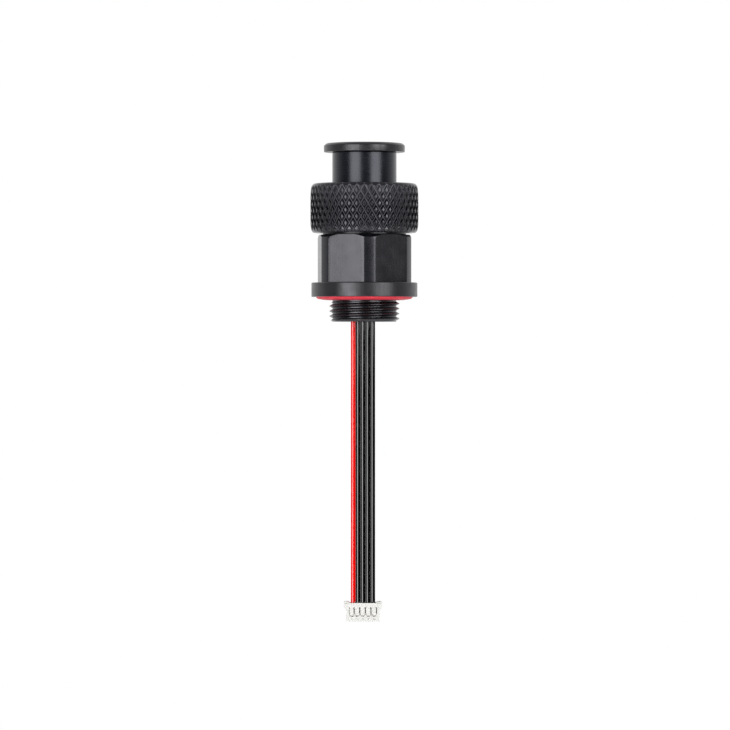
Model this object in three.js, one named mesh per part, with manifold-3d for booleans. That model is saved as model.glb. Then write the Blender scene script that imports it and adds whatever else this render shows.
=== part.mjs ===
// Sealed five-way bulkhead connector, closed by a dummy plug with a knurled locking sleeve.
// Millimetres, +Z up. The origin is the centre of the flange's underside, the plane that seats on the panel,
// and +Z runs along the connector's axis towards the pull cap.
import * as THREE from 'three';
import { mergeVertices } from 'three/addons/utils/BufferGeometryUtils.js';
import Module from 'manifold-3d';

// ---- driving dimensions -------------------------------------------------------------------------------------------
const ROUND = 40;              // facets on the large turned pieces

const THREAD_R = 7.0;          // M14 x 1 panel thread, crest radius
const THREAD_ROOT_R = 6.36;
const THREAD_PITCH = 1.0;
const THREAD_END_Z = -4.95;
const RELIEF_R = 6.38;         // undercut between thread and flange

const FLANGE_R = 10.6;
const FLANGE_T = 2.86;
const SEAL_GROOVE_IN_R = 6.95; // face-seal groove in the flange's underside
const SEAL_GROOVE_OUT_R = 9.78;
const SEAL_GROOVE_DEPTH = 1.2;
const FACE_SEAL = [            // section of the moulded sealing washer, crowned below the flange
  [7.02, 1.15], [7.02, -0.52], [7.15, -0.62], [7.6, -0.65], [8.2, -0.59], [8.8, -0.5], [9.3, -0.4], [9.55, -0.22],
  [9.68, 0.02], [9.7, 1.15],
];

const HEX_AF = 18.0;           // across flats
const HEX_TURNED_R = 9.8;      // turned down across the corners
const HEX_TOP_Z = 12.4;
const HEX_CORNER_DEG = -84;    // azimuth of one corner; the others follow every 60 degrees

const NOSE_RELIEF_R = 8.35;    // undercut above the hexagon
const NOSE_THREAD_R = 9.0;     // M18 x 1 coupling thread, crest radius
const NOSE_THREAD_Z0 = 13.7;
const NOSE_TOP_Z = 18.2;

const SOCKET_R = 6.35;         // bore that the plug's nose seals in
const SOCKET_FLOOR_Z = 4.0;
const REAR_BORE_R = 5.1;

const SLEEVE_R = 10.8;
const SLEEVE_Z0 = 12.8;
const SLEEVE_Z1 = 22.66;
const SLEEVE_BORE_R = 9.15;
const SLEEVE_CEILING_Z = 20.6;
const SLEEVE_EYE_R = 6.58;

const NECK_R = 6.42;
const NECK_TOP_Z = 28.85;
const PLUG_NOSE_R = 6.2;
const PLUG_TIP_Z = 8.0;
const PLUG_SHOULDER_R = 8.25;
const PLUG_SHOULDER_Z0 = 18.35;
const PLUG_SHOULDER_Z1 = 19.9;

const CAP_R = 8.1;
const CAP_Z0 = 28.92;
const CAP_Z1 = 30.8;

const WAYS = 5;
const PIN_CIRCLE_R = 2.2;
const PIN_R = 0.5;
const PIN_FIRST_DEG = 162;     // pins run 162, 234, 90, 306, 18 degrees in the order of the leads from -X to +X
const PIN_DEGS = [PIN_FIRST_DEG, 234, 90, 306, 18];

const LEAD_R = 0.47;
const LEAD_PITCH = 0.972;
const LEAD_ROW_X = -0.28;      // centre of the row of leads
const LEAD_START_Z = -0.02;
const LEAD_ROW_Z = -4.2;       // the leads lie in one row from here down
const LEAD_EXIT_Z = -4.6;      // face of the potting
const LEAD_SPREAD_Z = -60.75;   // they open out to the housing's pitch from here
const LEAD_CAVITY_Z = -62.0;
const LEAD_END_Z = -62.25;

const WAY_PITCH = 1.12;
const HOUSING_X = -0.3;
const HOUSING_Z0 = -64.83;     // mating face
const HOUSING_Z1 = -61.14;     // wire side between the ears
const HOUSING_EAR_Z = -60.88;
const HOUSING_HALF_W = 3.33;
const HOUSING_EAR_HALF_W = 3.8;
const HOUSING_FRONT_Y = -1.5;
const HOUSING_BACK_Y = 1.5;

// ---- materials ----------------------------------------------------------------------------------------------------
const finish = (color, roughness, metalness) => new THREE.MeshStandardMaterial({ color, roughness, metalness });
const anodised = () => finish(0x26272b, 0.34, 0.85);
const sealRed = () => finish(0xd8243c, 0.55, 0);
const sealBlack = () => finish(0x141414, 0.6, 0);
const moulding = () => finish(0x1b1b1d, 0.5, 0);
const goldPlate = () => finish(0xd0a545, 0.25, 1);
const tinPlate = () => finish(0xc9c9c4, 0.32, 1);
const springSteel = () => finish(0x9a9a9a, 0.35, 1);
const epoxy = () => finish(0x0e0e10, 0.22, 0);
const lowFriction = () => finish(0xe9e7e0, 0.45, 0);
const whiteNylon = () => finish(0xf3f2ea, 0.5, 0);
const leadRed = () => finish(0xe8140f, 0.42, 0);
const leadBlack = () => finish(0x0d0d0e, 0.42, 0);

// ---- helpers ------------------------------------------------------------------------------------------------------
const wasm = await Module();
wasm.setup();

// Keeps positions only, welds them, and drops the triangles that close up at a pole.
function weld(geometry) {
  const bare = new THREE.BufferGeometry();
  bare.setAttribute('position', geometry.getAttribute('position').clone());
  if (geometry.index) bare.setIndex(geometry.index.clone());
  const merged = mergeVertices(bare, 1e-4);
  const kept = [];
  const index = merged.index.array;
  for (let i = 0; i < index.length; i += 3) {
    const [a, b, c] = [index[i], index[i + 1], index[i + 2]];
    if (a !== b && b !== c && c !== a) kept.push(a, b, c);
  }
  merged.setIndex(kept);
  return merged;
}

// A profile of [radius, z] turned about Z. It runs anticlockwise with radius to the right and z up, and either closes
// on itself or starts and ends on the axis.
function turned(profile, facets = ROUND, closed = false) {
  const points = profile.map(([r, z]) => new THREE.Vector2(r, z));
  if (closed) points.push(points[0].clone());
  return weld(new THREE.LatheGeometry(points, facets).rotateX(Math.PI / 2));
}

function toSolid(geometry) {
  const g = weld(geometry);
  return new wasm.Manifold(new wasm.Mesh({
    numProp: 3,
    vertProperties: new Float32Array(g.getAttribute('position').array),
    triVerts: new Uint32Array(g.index.array),
  }));
}

function toGeometry(solid) {
  const m = solid.getMesh();
  const positions = [];
  for (let i = 0; i < m.vertProperties.length; i += m.numProp) {
    positions.push(m.vertProperties[i], m.vertProperties[i + 1], m.vertProperties[i + 2]);
  }
  const g = new THREE.BufferGeometry();
  g.setAttribute('position', new THREE.Float32BufferAttribute(positions, 3));
  g.setIndex([...m.triVerts]);
  return g;
}

// An outline of [x, y] pairs carried up from z0 to z1.
function raised(outline, z0, z1) {
  const shape = new THREE.Shape(outline.map(([x, y]) => new THREE.Vector2(x, y)));
  return new THREE.ExtrudeGeometry(shape, { depth: z1 - z0, bevelEnabled: false }).translate(0, 0, z0);
}

function block(x0, x1, y0, y1, z0, z1) {
  return new THREE.BoxGeometry(x1 - x0, y1 - y0, z1 - z0).translate((x0 + x1) / 2, (y0 + y1) / 2, (z0 + z1) / 2);
}

function rod(r, z0, z1, facets, x = 0, y = 0) {
  return turned([[0, z0], [r, z0], [r, z1], [0, z1]], facets).translate(x, y, 0);
}

// A round ring: centre radius, cord radius and height of its middle.
function ring(centreR, cordR, z, facets, around) {
  const profile = [];
  for (let i = 0; i < around; i++) {
    const a = -Math.PI / 2 + (2 * Math.PI * i) / around;
    profile.push([centreR + cordR * Math.cos(a), z + cordR * Math.sin(a)]);
  }
  return turned(profile, facets, true);
}

const assembly = new THREE.Group();
function add(name, geometry, material) {
  material.flatShading = true;
  geometry.computeVertexNormals();
  const mesh = new THREE.Mesh(geometry, material);
  mesh.name = name;
  assembly.add(mesh);
  return mesh;
}

// ---- bulkhead body ------------------------------------------------------------------------------------------------
{
  const profile = [
    [REAR_BORE_R + 0.25, THREAD_END_Z],
    [THREAD_ROOT_R - 0.1, THREAD_END_Z],
  ];
  // crests of the panel thread
  for (const crest of [-4.3, -3.3, -2.3, -1.45]) {
    const half = crest === -1.45 ? 0.3 : 0.5;
    profile.push([THREAD_ROOT_R, crest - half + 0.08], [THREAD_R, crest - 0.07], [THREAD_R, crest + 0.07]);
    if (crest === -1.45) profile.push([RELIEF_R, crest + half]);
  }
  profile.push(
    [RELIEF_R, 0],
    [SEAL_GROOVE_IN_R, 0],
    [SEAL_GROOVE_IN_R, SEAL_GROOVE_DEPTH],
    [SEAL_GROOVE_OUT_R, SEAL_GROOVE_DEPTH],
    [SEAL_GROOVE_OUT_R, 0],
    [FLANGE_R - 0.12, 0],
    [FLANGE_R, 0.12],
    [FLANGE_R, FLANGE_T - 0.15],
    [FLANGE_R - 0.15, FLANGE_T],
    [HEX_TURNED_R, FLANGE_T],
    [HEX_TURNED_R, HEX_TOP_Z - 0.55],
    [HEX_TURNED_R - 0.65, HEX_TOP_Z],
    [NOSE_RELIEF_R, HEX_TOP_Z],
    [NOSE_RELIEF_R, NOSE_THREAD_Z0 - 0.4],
    [NOSE_THREAD_R, NOSE_THREAD_Z0],
    [NOSE_THREAD_R, NOSE_TOP_Z - 0.5],
    [NOSE_THREAD_R - 0.5, NOSE_TOP_Z],
    [SOCKET_R + 0.4, NOSE_TOP_Z],
    [SOCKET_R, NOSE_TOP_Z - 0.6],
    [SOCKET_R, 6.4],
    [SOCKET_R + 0.45, 6.4],
    [SOCKET_R + 0.45, 5.6],
    [SOCKET_R, 5.6],
    [SOCKET_R, SOCKET_FLOOR_Z],
    [REAR_BORE_R, SOCKET_FLOOR_Z],
    [REAR_BORE_R, THREAD_END_Z + 0.25],
  );
  const body = toSolid(turned(profile, ROUND, true));

  const hexR = HEX_AF / 2 / Math.cos(Math.PI / 6);
  const hexagon = [];
  for (let k = 0; k < 6; k++) {
    const a = THREE.MathUtils.degToRad(HEX_CORNER_DEG + 60 * k);
    hexagon.push([hexR * Math.cos(a), hexR * Math.sin(a)]);
  }
  const waste = toSolid(rod(14, FLANGE_T, HEX_TOP_Z + 0.001, 24))
    .subtract(toSolid(raised(hexagon, FLANGE_T - 1, HEX_TOP_Z + 1)));
  add('bulkhead_body', toGeometry(body.subtract(waste)), anodised());
}

add('face_seal', turned(FACE_SEAL, ROUND, true), sealRed());

// ---- contact insert, its seal and its retaining ring --------------------------------------------------------------
const pinPlaces = PIN_DEGS.map((deg) => {
  const a = THREE.MathUtils.degToRad(deg);
  return [PIN_CIRCLE_R * Math.cos(a), PIN_CIRCLE_R * Math.sin(a)];
});
{
  let insert = toSolid(turned([
    [0, 1.2], [4.8, 1.2], [5.0, 1.4], [5.0, 1.8], [4.05, 1.8], [4.05, 3.1], [5.0, 3.1], [5.0, 4.05],
    [6.25, 4.05], [6.25, 5.35], [6.1, 5.5], [0, 5.5],
  ], 24));
  for (const [x, y] of pinPlaces) insert = insert.subtract(toSolid(rod(PIN_R + 0.06, 0, 7, 10, x, y)));
  add('contact_insert', toGeometry(insert), moulding());
}
add('insert_o_ring', ring(4.57, 0.47, 2.45, 24, 8), sealBlack());
{
  const outline = [];
  const open = 0.28;
  for (let i = 0; i <= 24; i++) {
    const a = open + ((2 * Math.PI - 2 * open) * i) / 24;
    outline.push([6.68 * Math.cos(a), 6.68 * Math.sin(a)]);
  }
  for (let i = 24; i >= 0; i--) {
    const a = open + ((2 * Math.PI - 2 * open) * i) / 24;
    outline.push([5.35 * Math.cos(a), 5.35 * Math.sin(a)]);
  }
  add('insert_retaining_ring', weld(raised(outline, 5.65, 6.25)), springSteel());
}
pinPlaces.forEach(([x, y], i) => {
  add(`contact_pin_${i + 1}`, turned([
    [0, 0.7], [0.4, 0.7], [0.4, 0.05], [0.6, 0.05], [0.6, 1.1], [PIN_R, 1.1], [PIN_R, 5.55], [0.75, 5.55],
    [0.75, 5.95], [PIN_R, 5.95], [PIN_R, 11.3], [0.32, 11.7], [0, 11.8],
  ], 10).translate(x, y, 0), goldPlate());
});

// ---- leads and the potting they leave -----------------------------------------------------------------------------
const smooth = (t) => t * t * (3 - 2 * t);
const leadX = (i) => LEAD_ROW_X + (i - (WAYS - 1) / 2) * LEAD_PITCH;
const wayX = (i) => HOUSING_X + (i - (WAYS - 1) / 2) * WAY_PITCH;

class LeadLine extends THREE.Curve {
  constructor(i, z0, z1) {
    super();
    Object.assign(this, { i, z0, z1 });
  }
  getPoint(t, target = new THREE.Vector3()) {
    const z = this.z0 + (this.z1 - this.z0) * t;
    const [px, py] = pinPlaces[this.i];
    const gather = smooth(Math.min(1, Math.max(0, (z - LEAD_START_Z) / (LEAD_ROW_Z - LEAD_START_Z))));
    const spread = smooth(Math.min(1, Math.max(0, (z - LEAD_SPREAD_Z) / (LEAD_CAVITY_Z - LEAD_SPREAD_Z))));
    const x = px + (leadX(this.i) - px) * gather + (wayX(this.i) - leadX(this.i)) * spread;
    return target.set(x, py * (1 - gather), z);
  }
}

// A round section carried along a lead's line, level by level.
function leadTube(i, r, levels) {
  const line = new LeadLine(i, levels[0], levels[levels.length - 1]);
  const total = levels[levels.length - 1] - levels[0];
  line.getSpacedPoints = () => levels.map((z) => line.getPoint((z - levels[0]) / total));
  line.getUtoTmapping = (u) => (levels[Math.round(u * (levels.length - 1))] - levels[0]) / total;
  const section = new THREE.Shape();
  for (let k = 0; k < 8; k++) {
    const a = (Math.PI / 4) * k + Math.PI / 8;
    if (k === 0) section.moveTo(r * Math.cos(a), r * Math.sin(a));
    else section.lineTo(r * Math.cos(a), r * Math.sin(a));
  }
  section.closePath();
  return weld(new THREE.ExtrudeGeometry(section, { steps: levels.length - 1, extrudePath: line, bevelEnabled: false }));
}

const gatherLevels = [LEAD_START_Z, -0.7, -1.4, -2.1, -2.8, -3.5, LEAD_ROW_Z];
const runLevels = [];
for (let z = LEAD_EXIT_Z - 0.6; z > LEAD_SPREAD_Z + 1; z -= 3.2) runLevels.push(z);
const leadLevels = [...gatherLevels, LEAD_EXIT_Z, ...runLevels, LEAD_SPREAD_Z, -61.05, -61.35, -61.65, LEAD_CAVITY_Z, LEAD_END_Z];
const leadNames = ['lead_red', 'lead_black_1', 'lead_black_2', 'lead_black_3', 'lead_black_4'];
leadNames.forEach((name, i) => {
  add(name, leadTube(i, LEAD_R, leadLevels), i === 0 ? leadRed() : leadBlack());
});
{
  let potting = toSolid(turned([
    [0, LEAD_EXIT_Z], [4.7, LEAD_EXIT_Z], [5.04, LEAD_EXIT_Z + 0.12], [5.04, 1.1], [0, 1.1],
  ], 24));
  const tunnelLevels = [0.3, ...gatherLevels, LEAD_EXIT_Z, LEAD_EXIT_Z - 0.8];
  for (let i = 0; i < WAYS; i++) {
    potting = potting
      .subtract(toSolid(leadTube(i, LEAD_R + 0.05, tunnelLevels)))
      .subtract(toSolid(rod(0.68, -0.1, 2, 10, ...pinPlaces[i])));
  }
  add('rear_potting', toGeometry(potting), epoxy());
}

// ---- wire-to-board connector on the leads -------------------------------------------------------------------------
{
  const h = HOUSING_X;
  const outline = [
    [h - HOUSING_HALF_W + 0.15, HOUSING_Z0], [h + HOUSING_HALF_W - 0.15, HOUSING_Z0],
    [h + HOUSING_HALF_W, HOUSING_Z0 + 0.15], [h + HOUSING_HALF_W, -62.35],
    [h + HOUSING_EAR_HALF_W, -61.85], [h + HOUSING_EAR_HALF_W, HOUSING_EAR_Z],
    [h + HOUSING_EAR_HALF_W - 1.05, HOUSING_EAR_Z], [h + HOUSING_EAR_HALF_W - 1.05, HOUSING_Z1],
    [h - HOUSING_EAR_HALF_W + 1.05, HOUSING_Z1], [h - HOUSING_EAR_HALF_W + 1.05, HOUSING_EAR_Z],
    [h - HOUSING_EAR_HALF_W, HOUSING_EAR_Z], [h - HOUSING_EAR_HALF_W, -61.85],
    [h - HOUSING_HALF_W, -62.35], [h - HOUSING_HALF_W, HOUSING_Z0 + 0.15],
  ];
  // the outline lies in X and Z, carried along Y
  const slab = raised(outline, -HOUSING_BACK_Y, -HOUSING_FRONT_Y).rotateX(Math.PI / 2);
  let housing = toSolid(slab)
    .subtract(toSolid(block(h - 2.78, h + 2.78, -1.0, 0.7, -61.95, -60)));
  for (let i = 0; i < WAYS; i++) {
    const x = wayX(i);
    housing = housing
      .subtract(toSolid(block(x - 0.49, x + 0.49, -1.0, 0.7, -64.5, -60)))
      .subtract(toSolid(block(x - 0.27, x + 0.27, -0.45, 0.15, -66, -64)))
      .subtract(toSolid(block(x - 0.565, x + 0.565, -2, -0.95, -63.87, -61.93)));
  }
  // a tongue hangs in each window
  for (let i = 0; i < WAYS; i++) {
    housing = housing.add(toSolid(block(wayX(i) - 0.375, wayX(i) + 0.375, -1.46, -1.12, -63.6, -61.75)));
  }
  add('connector_housing', toGeometry(housing), whiteNylon());
  for (let i = 0; i < WAYS; i++) {
    const x = wayX(i);
    let terminal = toSolid(block(x - 0.4, x + 0.4, -0.85, 0.55, -64.4, -62.3));
    terminal = terminal
      .subtract(toSolid(block(x - 0.25, x + 0.25, -0.43, 0.13, -65, -62.85)))
      .subtract(toSolid(block(x - 0.6, x + 0.6, -1, -0.15, -62.8, -62.55)));
    add(`crimp_terminal_${i + 1}`, toGeometry(terminal), tinPlate());
  }
}

// ---- dummy plug ---------------------------------------------------------------------------------------------------
add('plug_body', turned([
  [0, 15.2], [4.2, 15.2], [4.2, 8.4], [4.6, PLUG_TIP_Z], [PLUG_NOSE_R - 0.3, PLUG_TIP_Z], [PLUG_NOSE_R, PLUG_TIP_Z + 0.3],
  [PLUG_NOSE_R, 9.6], [5.1, 9.6], [5.1, 11.2], [PLUG_NOSE_R, 11.2],
  [PLUG_NOSE_R, 12.6], [5.1, 12.6], [5.1, 14.2], [PLUG_NOSE_R, 14.2],
  [PLUG_NOSE_R, PLUG_SHOULDER_Z0], [PLUG_SHOULDER_R, PLUG_SHOULDER_Z0],
  [PLUG_SHOULDER_R, PLUG_SHOULDER_Z1], [NECK_R, PLUG_SHOULDER_Z1],
  [NECK_R, NECK_TOP_Z - 0.1], [NECK_R - 0.1, NECK_TOP_Z],
  [2.6, NECK_TOP_Z], [2.6, 24.5], [0, 24.5],
], 40), anodised());
add('plug_o_ring_lower', ring(5.72, 0.58, 10.4, 40, 6), sealBlack());
add('plug_o_ring_upper', ring(5.72, 0.58, 13.4, 40, 6), sealBlack());
add('pull_cap', turned([
  [0, 24.8], [2.1, 24.8], [2.45, 25.2], [2.45, CAP_Z0], [CAP_R - 0.12, CAP_Z0], [CAP_R, CAP_Z0 + 0.12],
  [CAP_R, CAP_Z1 - 0.5], [CAP_R - 0.17, CAP_Z1 - 0.25], [CAP_R - 0.45, CAP_Z1 - 0.08], [CAP_R - 1.1, CAP_Z1], [0, CAP_Z1],
], 40), anodised());

// ---- locking sleeve and the slip washer under its top wall --------------------------------------------------------
add('thrust_washer', turned([
  [6.6, 19.98], [8.2, 19.98], [8.2, 20.48], [6.6, 20.48],
], 40, true), lowFriction());
add('locking_sleeve', turned([
  [SLEEVE_BORE_R + 0.35, SLEEVE_Z0], [9.9, SLEEVE_Z0], [10.25, SLEEVE_Z0 + 0.2], [10.55, SLEEVE_Z0 + 0.7],
  [SLEEVE_R, SLEEVE_Z0 + 1.2], [SLEEVE_R, SLEEVE_Z1 - 1.1], [10.55, SLEEVE_Z1 - 0.6], [10.25, SLEEVE_Z1 - 0.25],
  [9.7, SLEEVE_Z1], [SLEEVE_EYE_R + 0.25, SLEEVE_Z1], [SLEEVE_EYE_R, SLEEVE_Z1 - 0.25],
  [SLEEVE_EYE_R, SLEEVE_CEILING_Z], [SLEEVE_BORE_R, SLEEVE_CEILING_Z], [SLEEVE_BORE_R, SLEEVE_Z0 + 0.35],
], ROUND, true), anodised());

export default assembly;
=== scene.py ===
import math

import bmesh
import bpy
import numpy as np
from mathutils import Matrix, Vector


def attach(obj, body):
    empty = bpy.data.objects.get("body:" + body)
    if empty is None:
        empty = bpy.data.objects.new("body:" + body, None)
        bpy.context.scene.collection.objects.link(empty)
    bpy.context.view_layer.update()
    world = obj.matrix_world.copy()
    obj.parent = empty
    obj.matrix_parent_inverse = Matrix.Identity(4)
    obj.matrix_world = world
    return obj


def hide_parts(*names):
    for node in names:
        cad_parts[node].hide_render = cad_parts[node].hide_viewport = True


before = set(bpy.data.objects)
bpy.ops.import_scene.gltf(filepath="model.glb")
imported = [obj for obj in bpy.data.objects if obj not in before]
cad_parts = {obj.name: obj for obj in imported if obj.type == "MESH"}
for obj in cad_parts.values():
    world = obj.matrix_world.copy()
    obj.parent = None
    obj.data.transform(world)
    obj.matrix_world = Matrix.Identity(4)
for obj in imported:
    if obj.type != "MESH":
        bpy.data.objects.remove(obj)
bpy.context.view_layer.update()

MM = 0.001
TAU = 2 * math.pi
scene = bpy.context.scene
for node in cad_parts.values():
    node.hide_render = False

# ---- camera -------------------------------------------------------------------------------------------------------
cam_data = bpy.data.cameras.new("camera")
cam_data.sensor_width = 36.0
cam_data.lens = 219.0
cam_data.shift_y = -0.0300
cam_data.clip_start = 0.05
cam_data.clip_end = 20.0
camera = bpy.data.objects.new("camera", cam_data)
camera.location = (0.00012, -0.888, -0.00924)
camera.rotation_euler = (math.pi / 2, 0, 0)
scene.collection.objects.link(camera)
scene.camera = camera

# ---- the leads' lines, as the CAD has them ------------------------------------------------------------------------
WAYS = 5
PIN_CIRCLE_R = 2.2
PIN_DEGS = [162, 234, 90, 306, 18]
LEAD_PITCH, LEAD_ROW_X, LEAD_D = 0.972, -0.28, 0.965
LEAD_START_Z, LEAD_ROW_Z, LEAD_EXIT_Z = -0.02, -4.2, -4.6
LEAD_SPREAD_Z, LEAD_CAVITY_Z, LEAD_END_Z = -60.75, -62.0, -62.25
WAY_PITCH, HOUSING_X = 1.12, -0.3
pins = [(PIN_CIRCLE_R * math.cos(math.radians(d)), PIN_CIRCLE_R * math.sin(math.radians(d))) for d in PIN_DEGS]
lead_x = [LEAD_ROW_X + (i - 2) * LEAD_PITCH for i in range(WAYS)]
way_x = [HOUSING_X + (i - 2) * WAY_PITCH for i in range(WAYS)]


def smooth(t):
    t = min(1.0, max(0.0, t))
    return t * t * (3 - 2 * t)


def lead_point(i, z):
    gather = smooth((z - LEAD_START_Z) / (LEAD_ROW_Z - LEAD_START_Z))
    spread = smooth((z - LEAD_SPREAD_Z) / (LEAD_CAVITY_Z - LEAD_SPREAD_Z))
    px, py = pins[i]
    return Vector((px + (lead_x[i] - px) * gather + (way_x[i] - lead_x[i]) * spread, py * (1 - gather), z))


def lead_line(i):
    zs = [LEAD_START_Z + (LEAD_ROW_Z - LEAD_START_Z) * k / 12 for k in range(13)]
    zs += [LEAD_EXIT_Z, -8, -16, -26, -36, -46, -54, -58.5]
    zs += [LEAD_SPREAD_Z + (LEAD_CAVITY_Z - LEAD_SPREAD_Z) * k / 8 for k in range(9)] + [LEAD_END_Z]
    return [lead_point(i, z) for z in zs]


def polyline_curve(name, points, radius, sides=8, caps=True):
    data = bpy.data.curves.new(name, "CURVE")
    data.dimensions = "3D"
    data.bevel_depth = radius * MM
    data.bevel_resolution = sides
    data.use_fill_caps = caps
    spline = data.splines.new("POLY")
    spline.points.add(len(points) - 1)
    for point, p in zip(spline.points, points):
        point.co = (p[0] * MM, p[1] * MM, p[2] * MM, 1.0)
    spline.use_smooth = True
    obj = bpy.data.objects.new(name, data)
    scene.collection.objects.link(obj)
    return obj


lead_names = ["lead_red", "lead_black_1", "lead_black_2", "lead_black_3", "lead_black_4"]
leads, lead_lengths = [], []
for i, lead_name in enumerate(lead_names):
    line = lead_line(i)
    leads.append(polyline_curve(lead_name + "_insulation", line, LEAD_D / 2))
    lead_lengths.append(sum((b - a).length for a, b in zip(line, line[1:])) * MM)


# ---- mesh helpers -------------------------------------------------------------------------------------------------
def to_object(name, verts, faces, weld=1e-4):
    """A smooth-shaded object from points in millimetres, welded, with its hard edges kept."""
    mesh = bpy.data.meshes.new(name)
    mesh.from_pydata([(x * MM, y * MM, z * MM) for x, y, z in verts], [], faces)
    obj = bpy.data.objects.new(name, mesh)
    scene.collection.objects.link(obj)
    tidy(obj, weld)
    return obj


def tidy(obj, weld=1e-4, hard=32.0):
    bm = bmesh.new()
    bm.from_mesh(obj.data)
    bmesh.ops.remove_doubles(bm, verts=bm.verts, dist=weld * MM)
    bmesh.ops.dissolve_degenerate(bm, edges=bm.edges, dist=weld * MM * 0.5)
    loose = [v for v in bm.verts if not v.link_faces]
    bmesh.ops.delete(bm, geom=loose, context="VERTS")
    bmesh.ops.recalc_face_normals(bm, faces=bm.faces)
    limit = math.radians(hard)
    for f in bm.faces:
        f.smooth = True
    for e in bm.edges:
        if len(e.link_faces) == 2:
            e.smooth = e.calc_face_angle(0.0) < limit
    bm.to_mesh(obj.data)
    bm.free()
    obj.data.update()


def weighted(obj):
    m = obj.modifiers.new("weighted", "WEIGHTED_NORMAL")
    m.keep_sharp = True
    m.weight = 80
    return obj


def apply_all(obj):
    """The object's mesh with its modifiers worked in."""
    bpy.context.view_layer.update()
    made = bpy.data.meshes.new_from_object(obj.evaluated_get(bpy.context.evaluated_depsgraph_get()))
    obj.modifiers.clear()
    obj.data = made
    return obj


def boolean(obj, others, operation):
    for other in others:
        m = obj.modifiers.new("cut", "BOOLEAN")
        m.object = other
        m.operation = operation
        m.solver = "EXACT"
    apply_all(obj)
    for other in others:
        bpy.data.objects.remove(other)
    return obj


def soften(obj, width, segments=2, angle=30):
    m = obj.modifiers.new("edges", "BEVEL")
    m.width = width * MM
    m.segments = segments
    m.limit_method = "ANGLE"
    m.angle_limit = math.radians(angle)
    m.miter_outer = "MITER_ARC"
    m.use_clamp_overlap = True
    m.harden_normals = False
    apply_all(obj)
    tidy(obj, 1e-4, 40)
    return obj


def rounded(profile, closed=False, steps=4):
    """A profile of (r, z) or (r, z, fillet) with its corners rounded by their fillets."""
    out, n = [], len(profile)
    for k, p in enumerate(profile):
        f = p[2] if len(p) > 2 else 0.0
        if f <= 0 or (not closed and k in (0, n - 1)):
            out.append((p[0], p[1]))
            continue
        a, b, c = Vector(profile[k - 1][:2]), Vector(p[:2]), Vector(profile[(k + 1) % n][:2])
        u, v = (a - b), (c - b)
        lu, lv = u.length, v.length
        if lu < 1e-9 or lv < 1e-9:
            out.append((p[0], p[1]))
            continue
        u, v = u / lu, v / lv
        half = math.acos(max(-1, min(1, u.dot(v)))) / 2
        if half < 1e-3 or half > math.pi / 2 - 1e-3:
            out.append((p[0], p[1]))
            continue
        cut = min(f / math.tan(half), lu * 0.49, lv * 0.49)
        r = cut * math.tan(half)
        centre = b + (u + v).normalized() * (r / math.sin(half))
        s, e = b + u * cut - centre, b + v * cut - centre
        sweep = math.atan2(s.x * e.y - s.y * e.x, s.dot(e))
        for j in range(steps + 1):
            t = sweep * j / steps
            out.append((centre.x + s.x * math.cos(t) - s.y * math.sin(t), centre.y + s.x * math.sin(t) + s.y * math.cos(t)))
    return out


def fixed(profile, closed=False, steps=4):
    """Rows of a turned surface from a profile: each row is the same all round."""
    return [(lambda th, r=r, z=z: (r, z)) for r, z in rounded(profile, closed, steps)]


def revolve(name, rows, columns, closed=True):
    """A turned surface. Each row gives (radius, z) at an angle, and columns are the angles, without the last turn."""
    columns = list(columns)
    verts, faces = [], []
    for ci in range(len(columns) + 1):
        th = columns[ci] if ci < len(columns) else columns[0] + TAU
        c, s = math.cos(columns[ci % len(columns)]), math.sin(columns[ci % len(columns)])
        for row in rows:
            r, z = row(th)
            verts.append((r * c, r * s, z))
    n = len(rows)
    spans = n if closed else n - 1
    for ci in range(len(columns)):
        for k in range(spans):
            a, b = ci * n + k, ci * n + (k + 1) % n
            faces.append((a, a + n, b + n, b))
    return to_object(name, verts, faces)


def even(n, start=0.0):
    return [start + TAU * k / n for k in range(n)]


def lathe(name, profile, n=144, closed=True, steps=4):
    return revolve(name, fixed(profile, closed, steps), even(n), closed)


def thread_rows(z0, z1, pitch, crest_r, root_r, z_ref, low=None, high=None, per_pitch=12, inside=False):
    """Rows that follow a right-handed helix from z0 to z1 (z1 above z0). low and high bound the radius near the ends."""
    step = pitch / per_pitch
    first = -per_pitch - 1
    count = int(round((z1 - z0) / step)) + 1
    span = crest_r - root_r

    def form(u):
        u = abs(u - round(u))
        flat, flank = 0.05, 0.43
        t = min(1.0, max(0.0, (u - flat) / (flank - flat)))
        t = t * t * (3 - 2 * t) * 0.18 + t * 0.82
        return crest_r - span * t

    def row(k):
        def at(th):
            z = z0 + k * step + pitch * th / TAU
            z = min(z1, max(z0, z))
            r = form((z - z_ref) / pitch - th / TAU)
            if low:
                r = max(r, low(z)) if inside else min(r, low(z))
            if high:
                r = max(r, high(z)) if inside else min(r, high(z))
            return r, z
        return at

    return [row(k) for k in range(first, count + 1)]


def ring(name, centre_r, cord_r, z, n=128, around=28, squash=1.0):
    rows = []
    for k in range(around):
        a = TAU * k / around
        rows.append(lambda th, r=centre_r + cord_r * math.cos(a), h=z + cord_r * squash * math.sin(a): (r, h))
    return revolve(name, rows, even(n), True)


def prism(name, outline, z0, z1):
    """An outline of (x, y) carried from z0 to z1."""
    n = len(outline)
    verts = [(x, y, z0) for x, y in outline] + [(x, y, z1) for x, y in outline]
    faces = [tuple(range(n - 1, -1, -1)), tuple(range(n, 2 * n))]
    faces += [(k, (k + 1) % n, n + (k + 1) % n, n + k) for k in range(n)]
    return to_object(name, verts, faces)


def slab(name, outline, y0, y1):
    """An outline of (x, z) carried from y0 to y1."""
    n = len(outline)
    verts = [(x, y0, z) for x, z in outline] + [(x, y1, z) for x, z in outline]
    faces = [tuple(range(n)), tuple(range(2 * n - 1, n - 1, -1))]
    faces += [(k, n + k, n + (k + 1) % n, (k + 1) % n) for k in range(n)]
    return to_object(name, verts, faces)


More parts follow.
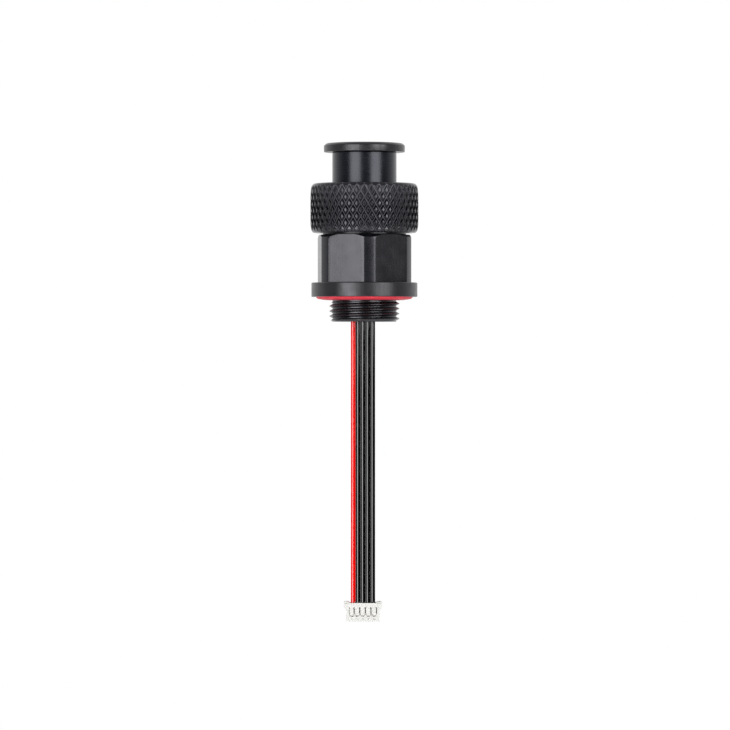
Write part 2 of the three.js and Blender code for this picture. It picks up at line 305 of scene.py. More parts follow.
def brick(name, x0, x1, y0, y1, z0, z1):
    return prism(name, [(x0, y0), (x1, y0), (x1, y1), (x0, y1)], z0, z1)


def rod(name, r, z0, z1, x, y, n=24):
    return prism(name, [(x + r * math.cos(TAU * k / n), y + r * math.sin(TAU * k / n)) for k in range(n)], z0, z1)


# ---- materials ----------------------------------------------------------------------------------------------------
class Nodes:
    """A small builder for one material's node tree."""

    def __init__(self, name):
        self.material = bpy.data.materials.new(name)
        self.material.use_nodes = True
        self.tree = self.material.node_tree
        self.tree.nodes.clear()
        self.out = self.tree.nodes.new("ShaderNodeOutputMaterial")
        self.bsdf = self.tree.nodes.new("ShaderNodeBsdfPrincipled")
        self.tree.links.new(self.bsdf.outputs[0], self.out.inputs[0])
        self.place = self.tree.nodes.new("ShaderNodeTexCoord").outputs["Object"]

    def set(self, **values):
        for key, value in values.items():
            self.bsdf.inputs[key.replace("_", " ")].default_value = value
        return self

    def link(self, socket, name):
        self.tree.links.new(socket, self.bsdf.inputs[name])

    def stretched(self, scale, rotation=(0, 0, 0)):
        m = self.tree.nodes.new("ShaderNodeMapping")
        m.inputs["Scale"].default_value = scale
        m.inputs["Rotation"].default_value = rotation
        self.tree.links.new(self.place, m.inputs["Vector"])
        return m.outputs[0]

    def noise(self, scale, detail=3.0, rough=0.55, vector=None):
        n = self.tree.nodes.new("ShaderNodeTexNoise")
        n.inputs["Scale"].default_value = scale
        n.inputs["Detail"].default_value = detail
        n.inputs["Roughness"].default_value = rough
        self.tree.links.new(vector if vector is not None else self.place, n.inputs["Vector"])
        return n.outputs["Fac"]

    def ramp(self, socket, low, high, a, b):
        m = self.tree.nodes.new("ShaderNodeMapRange")
        m.inputs["From Min"].default_value = low
        m.inputs["From Max"].default_value = high
        m.inputs["To Min"].default_value = a
        m.inputs["To Max"].default_value = b
        self.tree.links.new(socket, m.inputs["Value"])
        return m.outputs["Result"]

    def mix(self, factor, a, b):
        m = self.tree.nodes.new("ShaderNodeMix")
        m.data_type = "RGBA"
        for value, name in ((factor, 0), (a, 6), (b, 7)):
            if hasattr(value, "node"):
                self.tree.links.new(value, m.inputs[name])
            else:
                m.inputs[name].default_value = value
        return m.outputs[2]

    def math(self, operation, a, b=0.0):
        m = self.tree.nodes.new("ShaderNodeMath")
        m.operation = operation
        for k, value in enumerate((a, b)):
            if hasattr(value, "node"):
                self.tree.links.new(value, m.inputs[k])
            else:
                m.inputs[k].default_value = value
        return m.outputs[0]

    def bump(self, height, distance, strength=1.0, base=None):
        b = self.tree.nodes.new("ShaderNodeBump")
        b.inputs["Strength"].default_value = strength
        b.inputs["Distance"].default_value = distance
        self.tree.links.new(height, b.inputs["Height"])
        if base is not None:
            self.tree.links.new(base, b.inputs["Normal"])
        self.link(b.outputs[0], "Normal")
        return b.outputs[0]

    def split(self):
        s = self.tree.nodes.new("ShaderNodeSeparateXYZ")
        self.tree.links.new(self.place, s.inputs[0])
        return s.outputs


def anodised(name, turning="z", rough=0.27, spread=0.05, mark=1.2e-6, base=(0.0042, 0.0046, 0.0068), tint=(0.95, 0.955, 1.03), streak=0.0, dusty=None, lattice=None, level=0.5):
    """Satin black dyed anodising over turned aluminium: fine tool lines, a pore grain and faint cloudy dye."""
    n = Nodes(name)
    cloud = n.noise(260, 4, 0.6)
    grain = n.noise(9000, 2, 0.6)
    lighter = tuple(c * 1.5 for c in base) + (1.0,)
    colour = n.mix(n.ramp(cloud, 0.35, 0.7, 0, 1), tuple(base) + (1.0,), lighter)
    if dusty:               # a bloom of handling dust over the upper part
        up = n.math("ADD", n.split()[2], n.math("MULTIPLY", n.noise(700, 4, 0.7), 0.002))
        colour = n.mix(n.ramp(up, dusty[0], dusty[1], 0, dusty[2]), colour, (0.075, 0.075, 0.085, 1.0))
    if lattice:             # the knurl's grooves get a painted highlight, a pale line along each groove floor; its flanks are duller than its tops
        count, height_m, level, painted_highlight = lattice
        s = n.split()
        around = n.math("MULTIPLY", n.math("ADD", n.math("ARCTAN2", s[1], s[0]), math.pi / 2), count / TAU)
        along = n.math("DIVIDE", n.math("SUBTRACT", s[2], level), height_m)
        du = n.math("PINGPONG", n.math("ADD", n.math("ADD", around, along), 40.0), 0.5)
        dv = n.math("PINGPONG", n.math("ADD", n.math("SUBTRACT", around, along), 40.0), 0.5)
        d = n.math("MULTIPLY", n.math("MAXIMUM", du, dv), 2.0)
        uneven = n.ramp(n.noise(1800, 3, 0.6), 0.3, 0.7, 0.55, 1.0)
        # painted highlight: a pale grey mixed into each groove floor, standing in for the lamps' reflection along the
        # grooves
        groove = n.math("MULTIPLY", n.ramp(d, 0.84, 0.97, 0.0, painted_highlight), uneven)
        colour = n.mix(groove, colour, (0.20, 0.20, 0.225, 1.0))
        low = n.ramp(s[2], 0.0190, 0.0204, 1.0, 0.0)
        flat = n.math("MULTIPLY", n.ramp(d, 0.40, 0.46, 0.30, 0.0), low)
        rim = n.math("MULTIPLY", n.ramp(d, 0.56, 0.64, 0.55, 0.0), n.ramp(s[2], 0.01395, 0.01402, 1.0, 0.0))
        flat = n.math("MAXIMUM", flat, rim)      # the bare turned chamfer under the knurl
        n.link(n.math("ADD", flat, n.ramp(s[2], 0.0185, 0.0215, 0.17, 0.30)), "Specular IOR Level")
    n.link(colour, "Base Color")
    if turning == "z":      # tool lines run round the axis
        lines = n.noise(1.0, 3, 0.7, n.stretched((60, 60, 16000)))
    elif turning == "face":  # rings on an end face
        s = n.split()
        radius = n.math("SQRT", n.math("ADD", n.math("MULTIPLY", s[0], s[0]), n.math("MULTIPLY", s[1], s[1])))
        joined = n.tree.nodes.new("ShaderNodeCombineXYZ")
        n.tree.links.new(n.math("MULTIPLY", radius, 14000.0), joined.inputs[0])
        lines = n.noise(1.0, 3, 0.7, joined.outputs[0])
    else:                    # milled flats: lines run up and down
        lines = n.noise(1.0, 3, 0.7, n.stretched((9000, 9000, 120)))
    if streak:              # faint upright wipes and rubs
        wipes = n.noise(1.0, 4, 0.75, n.stretched((2100, 2100, 90)))
        patch = n.noise(420, 3, 0.6)
        rub = n.ramp(n.math("MULTIPLY", wipes, patch), 0.14, 0.42, 0.0, 1.0)
        colour = n.mix(n.math("MULTIPLY", rub, streak), colour, (0.032, 0.0315, 0.035, 1.0))
        n.link(colour, "Base Color")
    height = n.math("ADD", n.math("MULTIPLY", lines, 1.0), n.math("MULTIPLY", grain, 0.9))
    n.bump(height, mark, 1.0)
    gloss = n.ramp(n.math("ADD", n.math("MULTIPLY", cloud, 0.6), n.math("MULTIPLY", lines, 0.4)), 0.3, 0.7, rough - spread, rough + spread)
    if streak:
        gloss = n.math("ADD", gloss, n.math("MULTIPLY", rub, streak * 0.12))
        n.link(n.math("SUBTRACT", 0.56, n.math("MULTIPLY", rub, streak * 0.42)), "Specular IOR Level")
    n.link(gloss, "Roughness")
    n.set(Metallic=0.0, IOR=1.70, Specular_IOR_Level=level, Specular_Tint=tuple(tint) + (1.0,))
    return n.material


def plastic(name, colour, colour2, rough, bump=2e-6, scale=3000, ior=1.5, subsurface=0.0, coat=0.0):
    n = Nodes(name)
    cloud = n.noise(400, 4, 0.6)
    grain = n.noise(scale, 3, 0.6)
    n.link(n.mix(n.ramp(cloud, 0.35, 0.65, 0, 1), tuple(colour) + (1.0,), tuple(colour2) + (1.0,)), "Base Color")
    n.link(n.ramp(cloud, 0.3, 0.7, rough - 0.04, rough + 0.05), "Roughness")
    n.bump(grain, bump, 1.0)
    n.set(IOR=ior)
    if subsurface:
        n.set(Subsurface_Weight=subsurface, Subsurface_Radius=(0.001, 0.0009, 0.0008), Subsurface_Scale=0.4)
    if coat:
        n.set(Coat_Weight=coat, Coat_Roughness=0.12)
    return n.material


def metal(name, colour, colour2, rough, bump=8e-7, stretch=(3000, 3000, 3000)):
    n = Nodes(name)
    cloud = n.noise(700, 3, 0.6)
    grain = n.noise(1.0, 3, 0.6, n.stretched(stretch))
    n.link(n.mix(n.ramp(cloud, 0.35, 0.65, 0, 1), tuple(colour) + (1.0,), tuple(colour2) + (1.0,)), "Base Color")
    n.link(n.ramp(grain, 0.3, 0.7, rough - 0.05, rough + 0.07), "Roughness")
    n.bump(grain, bump, 1.0)
    n.set(Metallic=1.0)
    return n.material


def sheathing(name, colour, colour2, rough, edge=0.0):
    """Extruded insulation: faint draw lines along it and slow changes in gloss."""
    n = Nodes(name)
    draw = n.noise(1.0, 3, 0.6, n.stretched((14000, 14000, 160)))
    slow = n.noise(1.0, 3, 0.5, n.stretched((300, 300, 120)))
    n.link(n.mix(n.ramp(slow, 0.35, 0.65, 0, 1), tuple(colour) + (1.0,), tuple(colour2) + (1.0,)), "Base Color")
    n.link(n.ramp(slow, 0.3, 0.7, rough - 0.03, rough + 0.04), "Roughness")
    n.bump(draw, 1.5e-7, 1.0)
    side = n.tree.nodes.new("ShaderNodeLayerWeight")
    side.inputs["Blend"].default_value = 0.5
    n.link(n.ramp(side.outputs["Facing"], 0.06, 0.22, 0.74, edge), "Specular IOR Level")
    n.set(IOR=1.85)
    return n.material


black_turned = anodised("anodised_turned", "z", mark=5e-7)
black_faced = anodised("anodised_faced", "face")
black_milled = anodised("anodised_milled", "mill", rough=0.24, mark=7e-7, base=(0.0110, 0.0110, 0.0135), tint=(0.985, 0.965, 1.03), streak=0.22)
black_thread = anodised("anodised_thread", "z", rough=0.27, mark=2e-7, base=(0.0030, 0.0030, 0.0040), level=0.78)
black_neck = anodised("anodised_neck", "z", rough=0.26, mark=2.5e-7, base=(0.0036, 0.0044, 0.0076), tint=(0.93, 0.945, 1.05), level=0.39)
black_knurl = anodised("anodised_knurl", "none", rough=0.2, mark=5e-7, base=(0.0018, 0.0019, 0.0034), dusty=(0.0185, 0.0225, 0.30),
                        lattice=(44, 0.00258, 0.01842, 0.36))
black_rim = anodised("anodised_rim", "z", rough=0.29, base=(0.0115, 0.0112, 0.0130), tint=(0.97, 0.955, 1.01), streak=0.62)
seal_red = plastic("seal_red", (0.86, 0.042, 0.074), (0.92, 0.056, 0.090), 0.5, 3e-6, 2500, 1.45, 0.15)
seal_black = plastic("seal_black", (0.012, 0.012, 0.012), (0.018, 0.018, 0.018), 0.42, 2e-6, 3000, 1.5)
moulding_black = plastic("moulding_black", (0.016, 0.016, 0.017), (0.024, 0.024, 0.025), 0.48, 3e-6, 2200)
epoxy_black = plastic("epoxy_black", (0.007, 0.007, 0.008), (0.011, 0.011, 0.012), 0.16, 6e-6, 260, 1.55)
housing_white = plastic("housing_white", (0.83, 0.825, 0.795), (0.87, 0.865, 0.835), 0.42, 1e-6, 2600, 1.52)
washer_white = plastic("washer_white", (0.80, 0.79, 0.75), (0.86, 0.85, 0.82), 0.4, 2e-6, 2500, 1.4)
gold_plate = metal("gold_plate", (0.86, 0.60, 0.22), (0.90, 0.66, 0.28), 0.2)
tin_plate = metal("tin_plate", (0.66, 0.65, 0.62), (0.74, 0.73, 0.70), 0.28)
spring_steel = metal("spring_steel", (0.40, 0.40, 0.40), (0.50, 0.50, 0.49), 0.3)
lead_red_material = sheathing("lead_red_sheath", (1.0, 0.0018, 0.0008), (1.0, 0.003, 0.0014), 0.09)
lead_black_material = sheathing("lead_black_sheath", (0.0003, 0.0003, 0.0003), (0.0006, 0.0006, 0.0006), 0.08)


def give(obj, material, body, slot, *nodes):
    obj.data.materials.clear()
    obj.data.materials.append(material)
    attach(obj, body)
    if nodes:
        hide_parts(*nodes)
    return obj


def second(obj, material, test):
    """Gives the faces that pass the test another material."""
    obj.data.materials.append(material)
    index = len(obj.data.materials) - 1
    for p in obj.data.polygons:
        c = p.center / MM
        if test(c, p.normal):
            p.material_index = index


# ---- bulkhead body ------------------------------------------------------------------------------------------------
HEX_APOTHEM, HEX_TURNED_R, HEX_TOP, HEX_TOP_R = 9.0, 9.8, 12.4, 9.15
HEX_SLOPE = math.tan(math.radians(40))
FLAT_AZIMUTHS = [math.radians(-54 + 60 * k) for k in range(6)]
TURN_OFF = math.acos(HEX_APOTHEM / HEX_TURNED_R)      # from a flat's middle to where the turned strip starts


def off_flat(th):
    return min(abs((th - a + math.pi) % TAU - math.pi) for a in FLAT_AZIMUTHS)


def hex_r(th):
    d = off_flat(th)
    return min(HEX_APOTHEM / math.cos(d), HEX_TURNED_R)


hex_columns = set()
for a in FLAT_AZIMUTHS:
    for d in np.linspace(-TURN_OFF + math.radians(0.35), TURN_OFF - math.radians(0.35), 16):
        hex_columns.add(round((a + d) % TAU, 9))
    for d in np.linspace(TURN_OFF + math.radians(0.35), math.radians(60) - TURN_OFF - math.radians(0.35), 9):
        hex_columns.add(round((a + d) % TAU, 9))
hex_columns = sorted(hex_columns)


def chamfer_z(th):
    return HEX_TOP - max(0.0, hex_r(th) - HEX_TOP_R) * HEX_SLOPE


EDGE = 0.07
FLANGE_R, FLANGE_T = 10.6, 2.86
hex_rows = [
    lambda th: (hex_r(th) + 0.08, FLANGE_T),
    lambda th: (hex_r(th) + 0.024, FLANGE_T + 0.024),
    lambda th: (hex_r(th), FLANGE_T + 0.08),
    lambda th: (hex_r(th), chamfer_z(th) - 0.55),
    lambda th: (hex_r(th), chamfer_z(th) - EDGE),
    lambda th: (hex_r(th) - 0.010, chamfer_z(th) - 0.018),
    lambda th: (hex_r(th) - EDGE * 0.7, min(HEX_TOP - 0.004, chamfer_z(th) + EDGE * 0.7 * HEX_SLOPE)),
    lambda th: (min(hex_r(th) - EDGE, HEX_TOP_R + 0.03), HEX_TOP - (0.0 if hex_r(th) < HEX_TOP_R + 0.1 else 0.02)),
    lambda th: (min(hex_r(th) - EDGE, HEX_TOP_R) - 0.05, HEX_TOP),
]
rows = fixed([
    (5.10, -4.60), (5.10, -4.75), (5.30, -4.95), (6.20, -4.95), (6.38, -4.95),
])
rows += thread_rows(-4.95, -0.92, 1.0, 7.0, 6.36, -0.34, per_pitch=16,
                    low=lambda z: 6.40 + (z + 4.95) * 1.1, high=lambda z: 6.38 + max(0.0, -0.95 - z) * 1.8)
rows += fixed([
    (6.38, -0.9), (6.38, 0.0, 0.12), (6.95, 0.0, 0.05), (6.95, 1.2, 0.15), (9.78, 1.2, 0.15), (9.78, 0.0, 0.05),
    (FLANGE_R, 0.0, 0.14), (FLANGE_R, FLANGE_T, 0.20), (10.05, FLANGE_T),
])
rows += hex_rows
rows += fixed([(8.55, 12.4), (8.35, 12.4, 0.12), (8.35, 13.25)])
rows += thread_rows(13.3, 18.14, 1.0, 8.97, 8.42, 0.18,
                    low=lambda z: 8.37 + max(0.0, z - 13.32) * 1.2, high=lambda z: 8.40 + max(0.0, 18.12 - z) * 1.1)
rows += fixed([
    (8.38, 18.2, 0.05), (6.82, 18.2, 0.08), (6.35, 17.55, 0.25), (6.35, 6.4, 0.03), (6.8, 6.4, 0.03), (6.8, 5.6, 0.03),
    (6.35, 5.6, 0.03), (6.35, 4.0, 0.1), (5.10, 4.0, 0.08), (5.10, 1.0),
])
bulkhead = revolve("bulkhead_shell", rows, hex_columns, True)
give(bulkhead, black_turned, "bulkhead", "anodised_black", "bulkhead_body")
second(bulkhead, black_milled, lambda c, n: 2.9 < c.z < 12.38 and math.hypot(c.x, c.y) > 8.7 and abs(n.z) < 0.1
       and off_flat(math.atan2(c.y, c.x)) < TURN_OFF)
second(bulkhead, black_rim, lambda c, n: -0.05 < c.z < 2.9 and math.hypot(c.x, c.y) > 9.9)
second(bulkhead, black_thread, lambda c, n: (c.z < -0.9 and math.hypot(c.x, c.y) > 6.2) or 13.2 < c.z < 18.15 and math.hypot(c.x, c.y) > 8.2)
second(bulkhead, black_faced, lambda c, n: abs(n.z) > 0.9 and (c.z < 0.1 or c.z > 18.1))
weighted(bulkhead)

seal = lathe("sealing_washer", [
    (7.02, 1.17, 0.1), (9.70, 1.17, 0.1), (9.70, 0.05, 0.2), (9.58, -0.20, 0.15), (9.33, -0.41, 0.3), (8.77, -0.50, 0.6),
    (8.00, -0.62, 0.6), (7.40, -0.66, 0.3), (7.02, -0.60, 0.15),
], 180, True, 5)
give(weighted(seal), seal_red, "bulkhead", "seal_red", "face_seal")

# ---- contact insert -----------------------------------------------------------------------------------------------
insert = lathe("insulator", [
    (0, 1.2), (4.8, 1.2, 0.1), (5.0, 1.4, 0.05), (5.0, 1.8, 0.04), (4.05, 1.8, 0.05), (4.05, 3.1, 0.05), (5.0, 3.1, 0.04),
    (5.0, 4.05, 0.05), (6.25, 4.05, 0.06), (6.25, 5.42, 0.1), (5.2, 5.42, 0.08), (5.0, 5.15, 0.08), (3.9, 5.15, 0.08),
    (3.7, 5.5, 0.08), (0, 5.5),
], 128, False)
boolean(insert, [rod(f"way_{i}", 0.535, 0, 7, *pins[i]) for i in range(WAYS)], "DIFFERENCE")
# the keyway that sets which way round a plug goes in
boolean(insert, [brick("keyway", -0.6, 0.6, 4.6, 7.0, 5.0, 6.5)], "DIFFERENCE")
soften(insert, 0.04, 2, 35)
give(weighted(insert), moulding_black, "bulkhead", "moulding_black", "contact_insert")

insert_seal = ring("insert_seal", 4.575, 0.515, 2.45, 96, 24)
give(insert_seal, seal_black, "bulkhead", "seal_black", "insert_o_ring")

outline, open_angle = [], 0.2
for k in range(81):
    a = open_angle + (TAU - 2 * open_angle) * k / 80
    ear = math.exp(-((min(a, TAU - a) - 0.36) / 0.13) ** 2)
    outline.append((6.74 * math.cos(a), 6.74 * math.sin(a), ear))
inner = [((5.62 - 0.42 * ear) * x / 6.74, (5.62 - 0.42 * ear) * y / 6.74) for x, y, ear in reversed(outline)]
snap = prism("snap_ring", [(x, y) for x, y, _ in outline] + inner, 5.68, 6.28)
holes = []
for sign in (1, -1):
    a = sign * 0.36
    holes.append(rod(f"ear_hole_{sign}", 0.24, 5, 7, 5.72 * math.cos(a), 5.72 * math.sin(a), 20))
boolean(snap, holes, "DIFFERENCE")
soften(snap, 0.05, 2, 40)
give(weighted(snap), spring_steel, "bulkhead", "spring_steel", "insert_retaining_ring")

for i, (x, y) in enumerate(pins):
    pin = lathe(f"pin_{i + 1}", [
        (0, 0.7), (0.40, 0.7, 0.05), (0.40, 0.05, 0.03), (0.60, 0.05, 0.03), (0.60, 1.1, 0.05), (0.5, 1.1, 0.04),
        (0.5, 5.55, 0.03), (0.72, 5.55, 0.03), (0.72, 5.95, 0.1), (0.5, 5.95, 0.06), (0.5, 11.35, 0.3), (0.3, 11.8, 0.2), (0, 11.8),
    ], 40, False)
    pin.data.transform(Matrix.Translation((x * MM, y * MM, 0)))
    give(weighted(pin), gold_plate, "bulkhead", "gold_plate", f"contact_pin_{i + 1}")

# ---- potting ------------------------------------------------------------------------------------------------------
rings_r = [0.0, 0.5, 1.0, 1.5, 2.0, 2.5, 3.0, 3.5, 4.0, 4.4, 4.7, 4.9, 5.0, 5.06]


def face_z(r):
    return -4.60 - 0.20 * math.exp(-(5.1 - r) / 0.22)


potting_profile = [(r, face_z(r)) for r in rings_r] + [(5.06, 1.05), (0, 1.05)]
potting = revolve("potting", [(lambda th, r=r, z=z: (r, z)) for r, z in potting_profile], even(96), False)
tunnels = []
for i in range(WAYS):
    zs = [0.4] + [LEAD_START_Z + (LEAD_EXIT_Z - 0.8 - LEAD_START_Z) * k / 14 for k in range(15)]
    tube = polyline_curve(f"tunnel_{i}", [lead_point(i, z) for z in zs], LEAD_D / 2 + 0.012, 4)
    bpy.context.view_layer.update()
    made = bpy.data.meshes.new_from_object(tube.evaluated_get(bpy.context.evaluated_depsgraph_get()))
    bpy.data.objects.remove(tube)
    solid = bpy.data.objects.new(f"tunnel_solid_{i}", made)
    scene.collection.objects.link(solid)
    tunnels.append(solid)
    tunnels.append(rod(f"cup_room_{i}", 0.64, -0.05, 1.6, *pins[i]))
boolean(potting, tunnels, "DIFFERENCE")
tidy(potting, 1e-4, 40)
give(potting, epoxy_black, "bulkhead", "epoxy_black", "rear_potting")

# ---- leads' finish ------------------------------------------------------------------------------------------------
for i, lead in enumerate(leads):
    give(lead, lead_red_material if i == 0 else lead_black_material, "bulkhead", "lead_red" if i == 0 else "lead_black", lead_names[i])

# ---- wire-to-board connector --------------------------------------------------------------------------------------
H = HOUSING_X
outline = [
    (-3.33, -64.83), (3.33, -64.83), (3.33, -62.47), (3.80, -61.95), (3.80, -61.05), (3.62, -60.88), (2.86, -60.88),
    (2.70, -61.02), (2.70, -61.14), (-2.70, -61.14), (-2.70, -61.02), (-2.86, -60.88), (-3.62, -60.88), (-3.80, -61.05),
    (-3.80, -61.95), (-3.33, -62.47),
]
housing = slab("housing", [(H + x, z) for x, z in outline], -1.5, 1.5)


def tongue(x, half, top, foot, n=10):
    """The outline of a tongue or its window: straight sides from the top and a round foot."""
    side = [(x - half, top), (x + half, top)]
    return side + [(x + half * math.cos(math.pi * k / n), foot + half - half * math.sin(math.pi * k / n)) for k in range(n + 1)]


cuts = [brick("wire_trough", H - 2.78, H + 2.78, -1.0, 0.7, -61.95, -60.5)]
for i, x in enumerate(way_x):
    cuts.append(brick(f"cavity_{i}", x - 0.49, x + 0.49, -1.0, 0.7, -64.5, -61.9))
    cuts.append(brick(f"pin_way_{i}", x - 0.27, x + 0.27, -0.45, 0.15, -66, -64))
    cuts.append(slab(f"window_{i}", tongue(x, 0.555, -61.93, -63.90), -2, -1.12))
    cuts.append(brick(f"slot_{i}", x - 0.19, x + 0.19, -2, -1.2, -64.42, -64.25))
    cuts.append(brick(f"peep_{i}", x + 0.385, x + 0.60, -2, -0.9, -63.2, -62.05))
    cuts.append(brick(f"foot_{i}", x - 0.26, x + 0.26, -2, -0.9, -63.84, -63.69))
for side in (-1, 1):   # the hollow in each ear
    cuts.append(brick(f"ear_hollow_{side}", H + side * 3.25 - 0.27, H + side * 3.25 + 0.27, -0.9, 0.9, -61.6, -60))
    cuts.append(brick(f"ear_groove_{side}", H + side * 3.25 - 0.36, H + side * 3.25 + 0.36, -2, -1.2, -61.30, -61.08))
boolean(housing, cuts, "DIFFERENCE")
tongues = [slab(f"tongue_{i}", tongue(x, 0.365, -61.75, -63.62), -1.46, -1.05) for i, x in enumerate(way_x)]
boolean(housing, tongues, "UNION")
soften(housing, 0.05, 2, 35)
give(weighted(housing), housing_white, "bulkhead", "housing_white", "connector_housing")

# ---- crimp terminals ----------------------------------------------------------------------------------------------
for i, x in enumerate(way_x):
    box = brick(f"terminal_{i + 1}", x - 0.40, x + 0.40, -0.86, 0.55, -64.4, -62.8)
    inner = brick("inner", x - 0.29, x + 0.29, -0.74, 0.44, -64.8, -62.6)
    boolean(box, [inner], "DIFFERENCE")
    parts = [
        brick("floor", x - 0.30, x + 0.30, 0.43, 0.55, -62.85, -62.02),
        brick("wing_a", x - 0.40, x - 0.29, -0.30, 0.55, -62.85, -62.30),
        brick("wing_b", x + 0.29, x + 0.40, -0.30, 0.55, -62.85, -62.30),
        brick("spring", x - 0.16, x + 0.16, 0.10, 0.45, -64.1, -63.1),
        slab("lance", [(x - 0.17, -62.85), (x + 0.17, -62.85), (x + 0.17, -63.5), (x - 0.17, -63.5)], -0.97, -0.85),
    ]
    boolean(box, parts, "UNION")
    soften(box, 0.02, 1, 40)
    give(weighted(box), tin_plate, "bulkhead", "tin_plate", f"crimp_terminal_{i + 1}")

# ---- dummy plug ---------------------------------------------------------------------------------------------------
plug = lathe("plug_neck", [
    (0, 15.2), (4.2, 15.2, 0.3), (4.2, 8.35, 0.1), (4.6, 8.0, 0.1), (5.85, 8.0, 0.1), (6.2, 8.35, 0.1),
    (6.2, 9.6, 0.06), (5.1, 9.6, 0.12), (5.1, 11.2, 0.12), (6.2, 11.2, 0.06),
    (6.2, 12.6, 0.06), (5.1, 12.6, 0.12), (5.1, 14.2, 0.12), (6.2, 14.2, 0.06),
    (6.2, 18.35, 0.1), (8.25, 18.35, 0.12), (8.25, 19.9, 0.12), (6.42, 19.9, 0.08),
    (6.42, 28.85, 0.12), (2.7, 28.9, 0.1), (2.5, 28.7), (2.5, 24.5, 0.05), (0, 24.5),
], 200, False)
give(plug, black_neck, "dummy_plug", "anodised_black", "plug_body")
weighted(plug)
for name, z in (("lower", 10.4), ("upper", 13.4)):
    give(ring(f"plug_seal_{name}", 5.73, 0.62, z, 144, 24), seal_black, "dummy_plug", "seal_black", f"plug_o_ring_{name}")

cap = lathe("cap_disc", [
    (0, 24.8), (2.05, 24.8, 0.1), (2.42, 25.2, 0.1), (2.42, 28.92, 0.08), (6.2, 28.92), (8.08, 28.92, 0.16),
    (8.10, 30.25, 0.35), (7.55, 30.68, 0.5), (6.6, 30.76, 0.8), (0.5, 30.80), (0, 30.80),
], 200, False, 6)
give(cap, black_rim, "dummy_plug", "anodised_black", "pull_cap")
second(cap, black_faced, lambda c, n: n.z > 0.93 and c.z > 30)
weighted(cap)

# ---- locking sleeve -----------------------------------------------------------------------------------------------
washer = lathe("slip_washer", [(6.6, 19.98, 0.06), (8.2, 19.98, 0.06), (8.2, 20.48, 0.06), (6.6, 20.48, 0.06)], 120, True)
give(weighted(washer), washer_white, "slip_ring", "low_friction_washer", "thrust_washer")

DIAMONDS, DIAMOND_H, KNURL_Z = 44, 2.58, 18.42
KNURL_R, KNURL_HALF = 10.80, 0.667              # half the distance between two grooves, across them
KNURL_TOP, KNURL_FLOOR, KNURL_FLANK = 5 / 12, 9 / 12, math.tan(math.radians(49))
SUB = 24                                              # grid steps to a diamond, each way
KNURL_AT = math.radians(-90)


def knurl_drop(th, z):
    a = (th - KNURL_AT) * DIAMONDS / TAU
    b = (z - KNURL_Z) / DIAMOND_H
    u, v = a + b, a - b                              # whole and half numbers: tops at whole, grooves at half
    du, dv = abs(u - round(u)) * 2, abs(v - round(v)) * 2
    d = max(du, dv)                                  # 0 at a top's middle, 1 in a groove
    if d <= KNURL_TOP:
        return 0.0
    if d <= KNURL_FLOOR:
        return (d - KNURL_TOP) * KNURL_HALF * KNURL_FLANK
    run = (1 - KNURL_FLOOR) * KNURL_HALF              # a small hollow floor to each groove
    deep = (KNURL_FLOOR - KNURL_TOP) * KNURL_HALF * KNURL_FLANK
    return deep + 0.27 * run * (1 - ((1 - d) / (1 - KNURL_FLOOR)) ** 2)


EDGE_Z = [12.80, 12.83, 12.92, 13.06, 13.22, 13.38, 13.98, 14.10, 14.60, 15.5, 19.9, 20.66, 21.26, 21.86, 22.20, 22.46, 22.60, 22.66]
EDGE_R = [10.02, 10.20, 10.37, 10.47, 10.55, 10.603, 10.715, 10.745, 10.785, 10.8, 10.8, 10.76, 10.71, 10.63, 10.52, 10.33, 10.15, 9.92]


def sleeve_edge(z):
    """The sleeve's turned outline, which the knurl is cut into."""
    return float(np.interp(z, EDGE_Z, EDGE_R))


def knurl_row(z):
    def at(th):
        drop = knurl_drop(th, z)
        return min(sleeve_edge(z), KNURL_R - drop), z
    return at


cell = DIAMOND_H / SUB
start = KNURL_Z - math.floor((KNURL_Z - 12.8) / cell) * cell
zs = []
z = start
while z < 22.66:
    zs.append(z)
    z += cell
extra = [12.8, 12.83, 12.87, 12.92, 22.66, 22.63, 22.57]
zs = sorted([z for z in zs if 12.95 < z < 22.54] + extra)
sleeve_columns = even(DIAMONDS * SUB, KNURL_AT)
rows = [knurl_row(z) for z in zs]
rows += fixed([
    (9.80, 22.66), (6.80, 22.66, 0.05), (6.54, 22.40, 0.1), (6.54, 20.62, 0.05), (9.10, 20.62, 0.15), (9.10, 18.72, 0.1), (9.02, 18.62),
])
inner_rows = thread_rows(13.2, 18.55, 1.0, 9.02, 8.50, 0.68, low=lambda z: 9.02 - max(0.0, z - 13.25) * 1.4,
                         high=lambda z: 9.02 - max(0.0, 18.5 - z) * 1.4, inside=True, per_pitch=8)
rows += list(reversed(inner_rows))
rows += fixed([(9.04, 13.15), (9.40, 12.85), (9.52, 12.8)])
sleeve = revolve("knurled_sleeve", rows, sleeve_columns, True)
tidy(sleeve, 1e-4, 38)
give(sleeve, black_knurl, "sleeve", "anodised_black", "locking_sleeve")
second(sleeve, black_faced, lambda c, n: abs(n.z) > 0.9 and (c.z > 22.6 or c.z < 12.85))
second(sleeve, black_thread, lambda c, n: math.hypot(c.x, c.y) < 9.15)

# ---- stage --------------------------------------------------------------------------------------------------------
floor_mesh = bpy.data.meshes.new("floor")
ring_points = [(0.8 * math.cos(TAU * k / 96), 0.8 * math.sin(TAU * k / 96), -0.40) for k in range(96)]
floor_mesh.from_pydata(ring_points, [], [tuple(range(96))])
floor = bpy.data.objects.new("floor", floor_mesh)
scene.collection.objects.link(floor)
floor_nodes = Nodes("floor_paper")
floor_nodes.set(Roughness=0.9)
floor_nodes.link(floor_nodes.mix(floor_nodes.ramp(floor_nodes.noise(40, 3), 0.3, 0.7, 0, 1), (0.87, 0.87, 0.87, 1), (0.90, 0.90, 0.90, 1)), "Base Color")
floor_mesh.materials.append(floor_nodes.material)


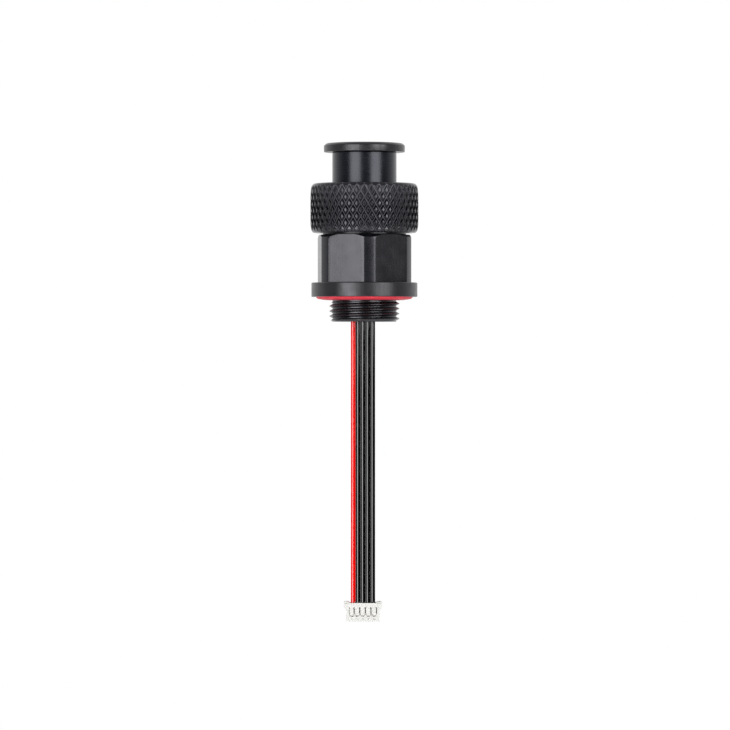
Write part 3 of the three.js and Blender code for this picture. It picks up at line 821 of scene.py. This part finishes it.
def panel(name, azimuth, z_low, z_high, distance, width, radiance):
    """An upright softbox that faces the axis from a side of the camera."""
    light = bpy.data.lights.new(name, "AREA")
    light.shape = "RECTANGLE"
    light.size, light.size_y = width, z_high - z_low
    light.energy = radiance * math.pi * width * (z_high - z_low)
    obj = bpy.data.objects.new(name, light)
    a = math.radians(azimuth)
    obj.location = (distance * math.sin(a), -distance * math.cos(a), (z_low + z_high) / 2)
    obj.rotation_euler = (math.pi / 2, 0, a)
    obj.visible_camera = False
    scene.collection.objects.link(obj)
    return obj


panel("softbox_left", -33, -0.85, 0.45, 0.9, 0.60, 3.2)
panel("softbox_right_high", 41, 0.005, 0.45, 0.9, 0.58, 4.3)
panel("softbox_right_low", 41, -0.95, -0.24, 0.9, 0.58, 3.3)

world = bpy.data.worlds.new("studio")
scene.world = world
world.use_nodes = True
wt = world.node_tree
wt.nodes.clear()
w_out = wt.nodes.new("ShaderNodeOutputWorld")
w_mix = wt.nodes.new("ShaderNodeMixShader")
w_path = wt.nodes.new("ShaderNodeLightPath")
w_seen = wt.nodes.new("ShaderNodeBackground")
w_seen.inputs[0].default_value = (1, 1, 1, 1)
w_seen.inputs[1].default_value = 1.0
w_room = wt.nodes.new("ShaderNodeBackground")
w_coord = wt.nodes.new("ShaderNodeTexCoord")
w_split = wt.nodes.new("ShaderNodeSeparateXYZ")
wt.links.new(w_coord.outputs["Generated"], w_split.inputs[0])
w_map = wt.nodes.new("ShaderNodeMapRange")
w_map.interpolation_type = "SMOOTHSTEP"
w_map.inputs["From Min"].default_value = -0.45
w_map.inputs["From Max"].default_value = 1.0
w_map.inputs["To Min"].default_value = 0.04
w_map.inputs["To Max"].default_value = 1.0
wt.links.new(w_split.outputs[1], w_map.inputs["Value"])
wt.links.new(w_map.outputs[0], w_room.inputs[1])
w_room.inputs[0].default_value = (1, 1, 1, 1)
wt.links.new(w_path.outputs["Is Camera Ray"], w_mix.inputs[0])
wt.links.new(w_room.outputs[0], w_mix.inputs[1])
wt.links.new(w_seen.outputs[0], w_mix.inputs[2])
wt.links.new(w_mix.outputs[0], w_out.inputs[0])

scene.view_settings.view_transform = "Standard"
scene.view_settings.look = "None"
scene.view_settings.exposure = 0.0
scene.view_settings.gamma = 1.0
